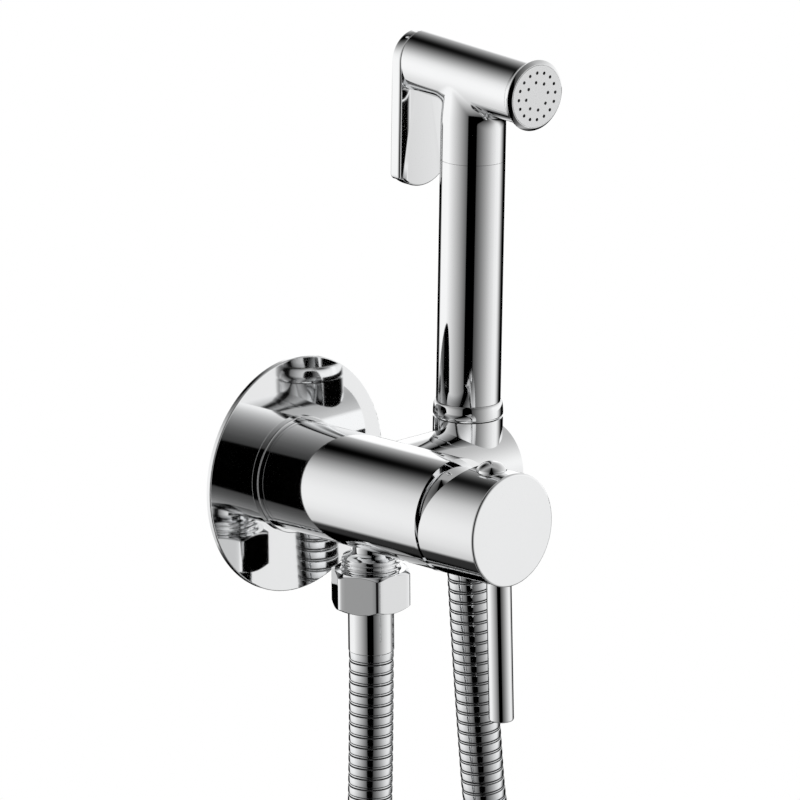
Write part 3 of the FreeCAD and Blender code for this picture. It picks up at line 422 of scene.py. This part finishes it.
# The stick's Z points up the grip, and the head's Z forward along the barrel
STICK_FOOT = (45.8 * MM, -42.0 * MM, 0)
STICK_LEAN = math.radians(1.65)
STICK_TURN = math.radians(-5.7)
STICK_PLACE = (Matrix.Translation(STICK_FOOT) @ Matrix.Rotation(STICK_LEAN, 4, "X")
               @ Matrix.Rotation(STICK_TURN, 4, "Z"))
HEAD_HEIGHT = 144.2
HEAD_DROOP = math.radians(2.45)
HEAD_TILT = math.pi / 2 + HEAD_DROOP
HEAD_PLACE = (STICK_PLACE @ Matrix.Translation((0, 0, HEAD_HEIGHT * MM))
              @ Matrix.Rotation(HEAD_TILT, 4, "X"))
# The outlet's Z points down, out of the body
OUTLET_PLACE = Matrix.Translation((0, -38.5 * MM, 0)) @ Matrix.Rotation(math.pi, 4, "X")
# The trigger's pin, up from the barrel's axis and along it
PIVOT_UP = 8.0
PIVOT_ALONG = -29.8


def bezel():
    """Thin trim ring: a cove behind, a wide bevel in front."""
    piece = turned("bezel", HEAD_PLACE, [
        (10.3, 29.3), (11.2, 29.3), (11.22, 29.6), (11.32, 30.2), (11.52, 30.8), (11.82, 31.35),
        (12.2, 31.8), (12.5, 32.05), (12.58, 32.2), (12.52, 32.36), (11.45, 33.42), (11.3, 33.5),
        (11.1, 33.5), (11.1, 30.2), (10.3, 30.2)])
    stands_for(piece, "sprayer", "spray_bezel", "body_chrome")


def cone_nut():
    """The nut that joins hose and grip: a cone in the cup below a banded collar."""
    piece = turned("collar_nut", STICK_PLACE, [
        (8.5, -4.0), (9.3, -4.0), (11.4, 20.6), (11.9, 20.72), (12.15, 20.85), (12.2, 21.2),
        (12.5, 21.35), (12.62, 21.6), (12.64, 22.4), (12.6, 23.2), (12.5, 24.2), (12.34, 25.2),
        (12.2, 25.75), (12.0, 26.15), (11.7, 26.4), (10.58, 26.4), (10.58, 18.4), (9.6, 18.4),
        (9.6, 15.4), (8.5, 15.4)])
    stands_for(piece, "sprayer", "cone_nut", "body_chrome")


def nipple():
    """Outlet neck with its screw thread, which the nut covers from the middle down."""
    pitch, crest, depth, start, shown = 1.814, 10.46, 1.16, 22.2, 30.0
    bore, plain_radius, top, bottom = 5.0, 10.0, 17.1, 36.0
    # The thread runs out into the neck along a cone, and its crests and roots are flattened
    runout_radius, runout_slope, flattened = 8.6, 2.2, 1.25
    sides, rows_per_turn = 72, 10
    rows = int((shown - start) / pitch * rows_per_turn)
    neck = [(bore, top), (6.5, top), (6.5, 20.8), (6.8, 21.4), (7.6, 21.9)]
    covered = [(plain_radius, shown + 0.2), (plain_radius, bottom), (bore, bottom)]
    thread = []
    for row in range(rows + 1):
        height = start + (shown - start) * row / rows
        loop = []
        for index in range(sides):
            angle = 2 * math.pi * index / sides
            turn = math.cos(2 * math.pi * (height / pitch + index / sides))
            tooth = 0.5 - 0.5 * max(-1.0, min(1.0, flattened * turn))
            runout = runout_radius + runout_slope * (height - start)
            radius = min(crest - depth * tooth, runout)
            loop.append((radius * math.cos(angle), radius * math.sin(angle), height))
        thread.append(loop)
    loops = ([round_loop(*corner, sides) for corner in neck] + thread
             + [round_loop(*corner, sides) for corner in covered])
    piece = circled("threaded_nipple", OUTLET_PLACE, loops, sharp=60)
    stands_for(piece, "base", "outlet_nipple", "body_chrome")


def hexagon(half, easing, start):
    """(turn, reach) round a hexagon, from half its width across flats, the radius of its eased
    corners and the turn of its first corner."""
    middle = (half - easing) / math.cos(math.pi / 6)
    eased = math.atan2(easing * 0.5, middle + easing * math.cos(math.pi / 6))
    spots = []
    for side in range(6):
        corner = start + math.radians(60 * side)
        for share in (-1, -0.5, 0, 0.5):
            turn = eased * share
            beside = middle * math.sin(turn)
            spots.append((corner + turn,
                          middle * math.cos(turn) + math.sqrt(easing ** 2 - beside ** 2)))
        for step in range(11):
            turn = eased + (math.pi / 3 - 2 * eased) * step / 11
            spots.append((corner + turn, half / math.cos(math.pi / 6 - turn)))
    return spots


def hex_nut():
    """Union nut with eased edges and a turned chamfer at both ends."""
    half, easing, top, bottom = 13.05, 2.2, 27.6, 41.8
    thread, thread_end, hole = 10.6, 39.5, 5.8
    top_slope, bottom_slope = 0.55, -0.75
    turned_by = math.radians(4.3)
    spots = hexagon(half, easing, turned_by)
    # The chamfers are turned, so they start a little within the flats
    edge = half - 0.35

    def ring(radius, height):
        return [(radius * math.cos(turn), radius * math.sin(turn), height) for turn, _ in spots]

    def rim(inset, height, slope):
        """Round the hexagon, on a chamfer that rises or falls with its reach."""
        return [((reach - inset) * math.cos(turn), (reach - inset) * math.sin(turn),
                 height + slope * (reach - edge)) for turn, reach in spots]

    piece = circled("union_nut", OUTLET_PLACE, [
        ring(thread, top + 0.3), ring(thread + 0.3, top), ring(edge, top),
        rim(0.12, top - 0.05, top_slope), rim(0, top + 0.12, top_slope),
        rim(0, bottom - 0.12, bottom_slope), rim(0.12, bottom + 0.05, bottom_slope),
        ring(edge - 0.5, bottom), ring(hole, bottom), ring(hole, thread_end),
        ring(thread, thread_end)], sharp=28)
    stands_for(piece, "base", "hose_nut", "body_chrome")


def trigger_outline(half, drop, low_radius, corner):
    """(across, up) round the trigger: a round top, straight sides, small lower corners and a
    curved foot. Drop is the foot's distance below the centre of the round top."""
    low = low_radius - drop - math.sqrt(low_radius ** 2 - (half - corner) ** 2)
    swing = math.degrees(math.asin((half - corner) / low_radius))
    shares = (0.25, 0.5, 0.75)
    outline = arc(0, 0, half, 0, 180, 36)
    outline += [(-half, (low + corner) * share) for share in shares]
    outline += arc(corner - half, low + corner, corner, 180, 255, 5)
    outline += arc(0, low_radius - drop, low_radius, -90 - swing, -90 + swing, 20)
    outline += arc(half - corner, low + corner, corner, 285, 360, 5)
    outline += [(half, (low + corner) * share) for share in reversed(shares)]
    return outline


def trigger():
    """Trigger plate with softly rounded edges and the pocket for its lug."""
    thick, edge, back = 5.2, 0.95, -33.4
    pocket_half, pocket_rise, pocket_floor = 3.3, 2.4, 1.8
    outline = trigger_outline(half=10.6, drop=45.9, low_radius=13.5, corner=2.0)

    def inset(depth, height):
        loop = []
        for index, (across, up) in enumerate(outline):
            before, after = outline[index - 1], outline[(index + 1) % len(outline)]
            way = Vector((after[1] - before[1], before[0] - after[0])).normalized()
            loop.append((across - way.x * depth, up - way.y * depth, height))
        return loop

    def pocket(height):
        loop = []
        for across, up in outline:
            reach = max(abs(across) / pocket_half, abs(up - PIVOT_UP) / pocket_rise)
            loop.append((across / reach, PIVOT_UP + (up - PIVOT_UP) / reach, height))
        return loop

    # The skin runs from the rear face over both rounded edges into the pocket in front
    quarter = [math.pi / 2 * step / 6 for step in range(7)]
    loops = [inset(edge * (1 - math.sin(turn)), edge * (1 - math.cos(turn))) for turn in quarter]
    loops += [inset(edge * (1 - math.cos(turn)), thick - edge * (1 - math.sin(turn)))
              for turn in quarter]
    loops += [pocket(thick), pocket(pocket_floor)]
    pivot = Vector((0, PIVOT_UP, PIVOT_ALONG)) * MM
    place = (HEAD_PLACE @ Matrix.Translation(pivot) @ Matrix.Rotation(-HEAD_DROOP, 4, "X")
             @ Matrix.Translation(-pivot) @ Matrix.Translation((0, 0, back * MM)))
    piece = circled("trigger_plate", place, loops, sharp=40, solid=True)
    stands_for(piece, "trigger", "trigger", "body_chrome")


def index_dome():
    """Domed plug on top of the handle, over its screw."""
    reach, base, rise, steps = 5.2, 2.1, 2.7, 16
    wide = reach + 0.05
    forward, up = -98.0, 18.1
    radius = (reach ** 2 + rise ** 2) / (2 * rise)
    swing = math.asin(reach / radius)
    outline = [(wide, 0), (wide, base - 0.2), (reach, base - 0.05)]
    for step in range(steps):
        turn = swing * (1 - step / steps)
        outline.append((radius * math.sin(turn), base + rise - radius * (1 - math.cos(turn))))
    piece = circled("index_dome", Matrix.Translation((0, forward * MM, up * MM)),
                    [round_loop(width, height, 64) for width, height in outline], solid=True)
    stands_for(piece, "handle", "index_plug", "body_chrome")


def spring():
    """The valve's return spring."""
    low, high, turns, steps_round = 6.0, 25.5, 9, 18
    radius, wire = 4, 0.5
    steps = steps_round * turns
    axes = HEAD_PLACE.to_3x3()
    along = Vector((0, 0, 1))
    rings = []
    for step in range(steps + 1):
        angle = 2 * math.pi * step / steps_round
        outward = Vector((math.cos(angle), math.sin(angle), 0))
        centre = (outward * radius + along * (low + (high - low) * step / steps)) * MM
        rings.append((HEAD_PLACE @ centre, axes @ outward, axes @ along, wire * MM))
    piece = tube("return_spring", rings, 8, sharp=180)
    stands_for(piece, "sprayer", "valve_spring", "inner_steel")
    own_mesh(piece)


# Sprayer head: grip stem and barrel, joined by a fillet that is widest where they meet squarely.
# Its points are in the stick's millimetres

STEM, BARREL, FILLET = 11.6, 11.2, 5.6
# The stem narrows a little as it nears the barrel
NECK_START, NECK_LENGTH, NECK_DEPTH = 127.0, 12.5, 0.72
# The barrel's ends along its axis, the stem's foot up the stick, and the spigot below it
REAR, FRONT, FOOT = -27.9, 29.2, 114.6
SPIGOT_RADIUS, SPIGOT_FOOT = 10.3, 105.5
REAR_SLOPE = math.tan(math.radians(8.85))
HEAD_SIDES, HEAD_ROWS = 144, 24
SIXTH = HEAD_SIDES // 6
BESIDE = Vector((1, 0, 0))
AHEAD = Vector((0, -math.sin(HEAD_TILT), math.cos(HEAD_TILT)))
UPWARD = Vector((0, math.cos(HEAD_TILT), math.sin(HEAD_TILT)))
HEAD_CENTRE = Vector((0, 0, HEAD_HEIGHT))


def stem_radius(height):
    ease = min(max((height - NECK_START) / NECK_LENGTH, 0.0), 1.0)
    return STEM - NECK_DEPTH * ease * ease * (3 - 2 * ease)


def head_distances(point):
    """Distance to the stem, to the barrel, and to the skin that blends the two."""
    offset = point - HEAD_CENTRE
    beside = offset - AHEAD * offset.dot(AHEAD)
    barrel = beside.length - BARREL
    across = Vector((point.x, point.y, 0))
    stem = across.length - stem_radius(point.z)
    if offset.dot(UPWARD) > 0:
        return stem, barrel, barrel
    squareness = 1 - across.normalized().dot(beside.normalized())
    width = max(FILLET * squareness, 1e-6)
    share = max(width - abs(stem - barrel), 0.0) / width
    return stem, barrel, min(stem, barrel) - share * share * width / 4


def crossing(beyond, low, high):
    """The place between low and high where a test turns true, by halving."""
    halvings = 26
    for _ in range(halvings):
        middle = (low + high) / 2
        if beyond(middle):
            high = middle
        else:
            low = middle
    return (low + high) / 2


def on_skin(start, way, radius):
    """The point where the blended skin crosses a ray, near a radius along it."""
    reach = crossing(lambda middle: head_distances(start + way * middle)[2] > 0,
                     radius - 0.3, radius + 1.5)
    return start + way * reach


def stem_way(turn):
    return Vector((math.sin(turn), -math.cos(turn), 0))


def stem_point(turn, height):
    return on_skin(Vector((0, 0, height)), stem_way(turn), stem_radius(height))


def barrel_way(turn):
    """Turn is measured round the barrel from straight below it."""
    return BESIDE * math.sin(turn) - UPWARD * math.cos(turn)


def barrel_point(turn, along):
    start = HEAD_CENTRE + AHEAD * along
    if abs(turn) >= math.pi / 2:
        return start + barrel_way(turn) * BARREL
    return on_skin(start, barrel_way(turn), BARREL)


def crease(turn):
    """Height at which the stem's skin is as near to the barrel as to the stem."""
    def above(height):
        stem, barrel, _ = head_distances(stem_point(turn, height))
        return barrel <= stem
    lowest = 124.0
    return crossing(above, lowest, HEAD_HEIGHT - 0.2)


def rear_face(turn, radius):
    """The barrel's rear slopes away below the trigger's pivot, to let the trigger in."""
    return REAR + max(0.0, PIVOT_UP + radius * math.cos(turn)) * REAR_SLOPE


def slope_edge(turn):
    """Radius of the line across the rear face where its slope begins, kept within the rim."""
    widest = 11.0
    return PIVOT_UP / max(-math.cos(turn), PIVOT_UP / widest)


def barrel_rim():
    """(turn, along) round the edge of the barrel's skin, opened along its top: front, top line,
    rear, and top line again. It starts at the lowest point of the front."""
    rear = rear_face(math.pi, BARREL)
    shares = [step / SIXTH for step in range(SIXTH)]
    rounds = [math.pi * step / SIXTH for step in range(-SIXTH, SIXTH)]
    rim = [(turn, FRONT) for turn in rounds]
    rim += [(math.pi, FRONT + (rear - FRONT) * share) for share in shares]
    rim += [(-turn, rear_face(turn, BARREL)) for turn in rounds]
    rim += [(-math.pi, FRONT + (rear - FRONT) * (1 - share)) for share in shares]
    return rim[SIXTH:] + rim[:SIXTH]


class SharedSkin:
    """Faces on shared corners, from points in the stick's millimetres."""

    def __init__(self):
        self.build = bmesh.new()
        self.known = {}

    def corner(self, point):
        key = tuple(round(value, 4) for value in point)
        if key not in self.known:
            self.known[key] = self.build.verts.new(STICK_PLACE @ (Vector(point) * MM))
        return self.known[key]

    def cover(self, rows, smooth):
        """Faces between neighbouring rows. Corners that fall together count once."""
        for first, second in zip(rows, rows[1:]):
            for index in range(len(first)):
                after = (index + 1) % len(first)
                points = (first[index], first[after], second[after], second[index])
                corners = list(dict.fromkeys(self.corner(point) for point in points))
                if len(corners) > 2:
                    self.build.faces.new(corners).smooth = smooth

    def close(self, points):
        """One face over a whole loop."""
        self.build.faces.new([self.corner(point) for point in points])


def stem_rows(turns, heights):
    """Rows up the stem, closer together near the crease."""
    rows = []
    for row in range(HEAD_ROWS):
        share = 1 - (1 - row / HEAD_ROWS) ** 1.6
        rows.append([stem_point(turn, FOOT + (height - FOOT) * share)
                     for turn, height in zip(turns, heights)])
    return rows


def barrel_rows(meeting):
    """Rows from the crease out to the barrel's rim, closer together near the crease."""
    inner = []
    for point in meeting:
        offset = point - HEAD_CENTRE
        inner.append((math.atan2(offset.x, -offset.dot(UPWARD)), offset.dot(AHEAD)))
    outer = barrel_rim()
    rows = [meeting]
    for row in range(1, HEAD_ROWS + 1):
        share = (row / HEAD_ROWS) ** 1.5
        rows.append([barrel_point(near[0] + (far[0] - near[0]) * share,
                                  near[1] + (far[1] - near[1]) * share)
                     for near, far in zip(inner, outer)])
    return rows


def head_ring(radius, along):
    """Points round the barrel's axis. Radius and along may be functions of the turn."""
    points = []
    for step in range(-SIXTH, SIXTH):
        turn = math.pi * step / SIXTH
        reach = radius(turn) if callable(radius) else radius
        place = along(turn, reach) if callable(along) else along
        points.append(HEAD_CENTRE + AHEAD * place + barrel_way(turn) * reach)
    return points


def add_ends(skin):
    """Front spigot, chamber, valve hole and rear face, each ring by its radius and its place
    along the barrel."""
    rings = [(BARREL, FRONT), (10.2, FRONT), (10.2, FRONT + 1), (9.0, FRONT + 1), (9.0, 3.2),
             (4.0, 3.2), (4.0, -1.0), (2.5, -1.0), (2.5, rear_face), (slope_edge, rear_face),
             (BARREL, rear_face)]
    skin.cover([head_ring(radius, along) for radius, along in rings], False)


def add_foot(skin, turns, lowest):
    """The stem's foot, with the spigot that enters the grip."""
    end, top = [[stem_way(turn) * SPIGOT_RADIUS + Vector((0, 0, height)) for turn in turns]
                for height in (SPIGOT_FOOT, FOOT)]
    skin.cover([end, top, lowest], False)
    skin.close(end)


def add_lug(skin):
    """Lug for the trigger's pin, rounded about it."""
    half, nose, root = 3.0, 1.5, -26.0
    profile = [(PIVOT_UP - nose, root), (PIVOT_UP + nose, root)]
    profile += arc(PIVOT_UP, PIVOT_ALONG, nose, 0, -180, 8)
    left, right = [[HEAD_CENTRE + BESIDE * across + UPWARD * up + AHEAD * along
                    for up, along in profile] for across in (-half, half)]
    skin.cover([left, right], False)
    skin.close(left)
    skin.close(right)


def blended_normals(mesh):
    """Normals along the slope of the blended skin on smooth faces, and flat ones elsewhere."""
    back = STICK_PLACE.inverted()
    axes = STICK_PLACE.to_3x3()
    reach = 0.01
    steps = [row * reach for row in Matrix.Identity(3)]
    slopes = []
    for vertex in mesh.vertices:
        point = back @ vertex.co / MM
        slope = Vector([head_distances(point + step)[2] - head_distances(point - step)[2]
                        for step in steps])
        slopes.append((axes @ slope).normalized() if slope.length > 1e-9 else vertex.normal)
    return [slopes[index] if face.use_smooth else face.normal
            for face in mesh.polygons for index in face.vertices]


def sprayer_head():
    turns = [2 * math.pi * index / HEAD_SIDES for index in range(HEAD_SIDES)]
    heights = [crease(turn) for turn in turns]
    meeting = [stem_point(turn, height) for turn, height in zip(turns, heights)]
    stem = stem_rows(turns, heights)
    skin = SharedSkin()
    skin.cover(stem + [meeting], True)
    skin.cover(barrel_rows(meeting), True)
    add_ends(skin)
    add_foot(skin, turns, stem[0])
    add_lug(skin)
    bmesh.ops.recalc_face_normals(skin.build, faces=skin.build.faces)
    mesh = bpy.data.meshes.new("sprayer_tee")
    skin.build.to_mesh(mesh)
    skin.build.free()
    mesh.normals_split_custom_set(blended_normals(mesh))
    piece = link(bpy.data.objects.new("sprayer_tee", mesh))
    stands_for(piece, "sprayer", "sprayer_head", "body_chrome")


# Studio

def floor():
    """Pale floor, which the camera and the reflections see as white."""
    half, low = 12.0, -1.1
    material, tree, output = new_material("pale_floor")
    pale = tree.nodes.new("ShaderNodeBsdfDiffuse")
    pale.inputs["Color"].default_value = (0.86, 0.86, 0.86, 1)
    white = tree.nodes.new("ShaderNodeEmission")
    rays = tree.nodes.new("ShaderNodeLightPath")
    seen = math_node(tree, "MAXIMUM", rays.outputs["Is Camera Ray"], rays.outputs["Is Glossy Ray"])
    seen = math_node(tree, "MAXIMUM", seen, rays.outputs["Is Transmission Ray"])
    mix = tree.nodes.new("ShaderNodeMixShader")
    tree.links.new(seen, mix.inputs["Fac"])
    tree.links.new(pale.outputs[0], mix.inputs[1])
    tree.links.new(white.outputs[0], mix.inputs[2])
    tree.links.new(mix.outputs[0], output.inputs["Surface"])
    mesh = bpy.data.meshes.new("floor")
    mesh.from_pydata(
        [(-half, -half, low), (half, -half, low), (half, half, low), (-half, half, low)],
        [], [(0, 1, 2, 3)])
    mesh.materials.append(material)
    obj = link(bpy.data.objects.new("floor", mesh))
    obj.visible_glossy = False


def direction(tree):
    """Azimuth and elevation, in degrees, of a place on the walls as seen from their centre."""
    place = tree.nodes.new("ShaderNodeTexCoord")
    unit = tree.nodes.new("ShaderNodeVectorMath")
    unit.operation = "NORMALIZE"
    tree.links.new(place.outputs["Object"], unit.inputs[0])
    split = tree.nodes.new("ShaderNodeSeparateXYZ")
    tree.links.new(unit.outputs[0], split.inputs[0])
    azimuth = math_node(tree, "ARCTAN2", split.outputs["Y"], split.outputs["X"])
    elevation = math_node(tree, "ARCSINE", split.outputs["Z"])
    return math_node(tree, "DEGREES", azimuth), math_node(tree, "DEGREES", elevation)


def turn_from(tree, azimuth, centre):
    """Signed azimuth from a centre, from -180 to 180 degrees."""
    offset = math_node(tree, "SUBTRACT", azimuth, centre)
    return math_node(tree, "WRAP", offset, 180.0, -180.0)


def between(tree, value, start, full, fade, end):
    """1 from full to fade, with soft edges that reach 0 at start and at end."""
    return math_node(tree, "MULTIPLY", smooth_step(tree, value, start, full),
                     smooth_step(tree, value, end, fade))


def round_spot(tree, beside, above, outer, inner):
    """1 within the inner distance of a centre and 0 beyond the outer one."""
    squares = [math_node(tree, "POWER", offset, 2.0) for offset in (beside, above)]
    reach = math_node(tree, "SQRT", math_node(tree, "ADD", *squares))
    return smooth_step(tree, reach, outer, inner)


def keep_out(tree, level, dark, depth=1.0):
    """Level with a dark flag taken out of it."""
    shade = math_node(tree, "MULTIPLY", dark, depth)
    return math_node(tree, "MULTIPLY", level, math_node(tree, "SUBTRACT", 1.0, shade))


def wall_light(tree):
    """Strength of the walls' light: white, with the dark flags that the metal shows. Places
    are azimuths and elevations in degrees."""
    azimuth, elevation = direction(tree)
    # Walls fade upwards and downwards
    level = keep_out(tree, 1.0, smooth_step(tree, elevation, -2.0, 62.0), 0.62)
    level = keep_out(tree, level, smooth_step(tree, elevation, -8.0, -70.0), 0.60)
    # The room darkens towards a black flag behind the camera
    side = turn_from(tree, azimuth, -139.0)
    left = math_node(tree, "POWER", map_range(tree, side, (-1.0, 94.0)), 1.6)
    right = map_range(tree, side, (-4.8, -91.7))
    level = math_node(tree, "MULTIPLY", level, math_node(tree, "MAXIMUM", left, right))
    level = keep_out(tree, level, between(tree, side, -16.0, -13.5, 15.5, 18.0))
    # Wide flag above and behind the object
    beside = math_node(tree, "MULTIPLY", turn_from(tree, azimuth, 84.5), 0.76)
    above = math_node(tree, "SUBTRACT", elevation, 43.0)
    level = keep_out(tree, level, round_spot(tree, beside, above, 43.0, 3.0))
    # Slightly darker patch, which the flat fronts show
    beside = turn_from(tree, azimuth, -45.0)
    above = math_node(tree, "SUBTRACT", elevation, -14.5)
    level = keep_out(tree, level, round_spot(tree, beside, above, 22.0, 2.0), 0.09)
    # Low dark wall behind the object
    low_wall = math_node(
        tree, "MULTIPLY", between(tree, turn_from(tree, azimuth, 38.0), -72.0, -34.0, 46.0, 56.0),
        smooth_step(tree, elevation, -7.0, -8.5))
    level = keep_out(tree, level, low_wall)
    # Dark floor under the object, which the undersides of the barrels show
    under = math_node(
        tree, "MULTIPLY", between(tree, turn_from(tree, azimuth, 98.0), -62.0, -44.0, 44.0, 62.0),
        smooth_step(tree, elevation, -42.5, -46.0))
    level = keep_out(tree, level, under, 0.95)
    # Bright panel behind the object
    panel = math_node(
        tree, "MULTIPLY", between(tree, turn_from(tree, azimuth, 39.0), -24.0, -6.0, 8.0, 18.0),
        between(tree, elevation, -8.5, -7.0, 24.0, 40.0))
    return math_node(tree, "MAXIMUM", level, math_node(tree, "MULTIPLY", panel, 1.08))


def surround():
    """Studio walls all round, which only the reflections see."""
    material, tree, output = new_material("studio_walls")
    light = tree.nodes.new("ShaderNodeEmission")
    tree.links.new(wall_light(tree), light.inputs["Strength"])
    tree.links.new(light.outputs[0], output.inputs["Surface"])
    build = bmesh.new()
    bmesh.ops.create_icosphere(build, subdivisions=5, radius=4.0)
    mesh = bpy.data.meshes.new("studio_walls")
    build.to_mesh(mesh)
    build.free()
    mesh.materials.append(material)
    obj = link(bpy.data.objects.new("studio_walls", mesh))
    obj.visible_camera = False
    obj.visible_diffuse = False
    obj.visible_shadow = False
    obj.visible_transmission = False


def world():
    made = bpy.data.worlds.new("world")
    made.use_nodes = True
    background = made.node_tree.nodes["Background"]
    background.inputs["Color"].default_value = (1, 1, 1, 1)
    background.inputs["Strength"].default_value = 1.0
    bpy.context.scene.world = made


def camera():
    data = bpy.data.cameras.new("camera")
    data.sensor_width = SENSOR
    data.lens = FOCAL_PIXELS / FRAME_PIXELS * SENSOR
    data.clip_start = 0.05
    data.clip_end = 60.0
    obj = link(bpy.data.objects.new("camera", data))
    axes = Matrix((CAMERA_RIGHT, CAMERA_UP, CAMERA_BACK)).transposed().to_4x4()
    obj.matrix_world = Matrix.Translation(CAMERA_PLACE) @ axes
    bpy.context.scene.camera = obj


dress_nodes()
hose()
sprayer_head()
bezel()
cone_nut()
nipple()
hex_nut()
trigger()
index_dome()
spring()
floor()
surround()
world()
camera()
bpy.context.scene.view_settings.view_transform = "Standard"
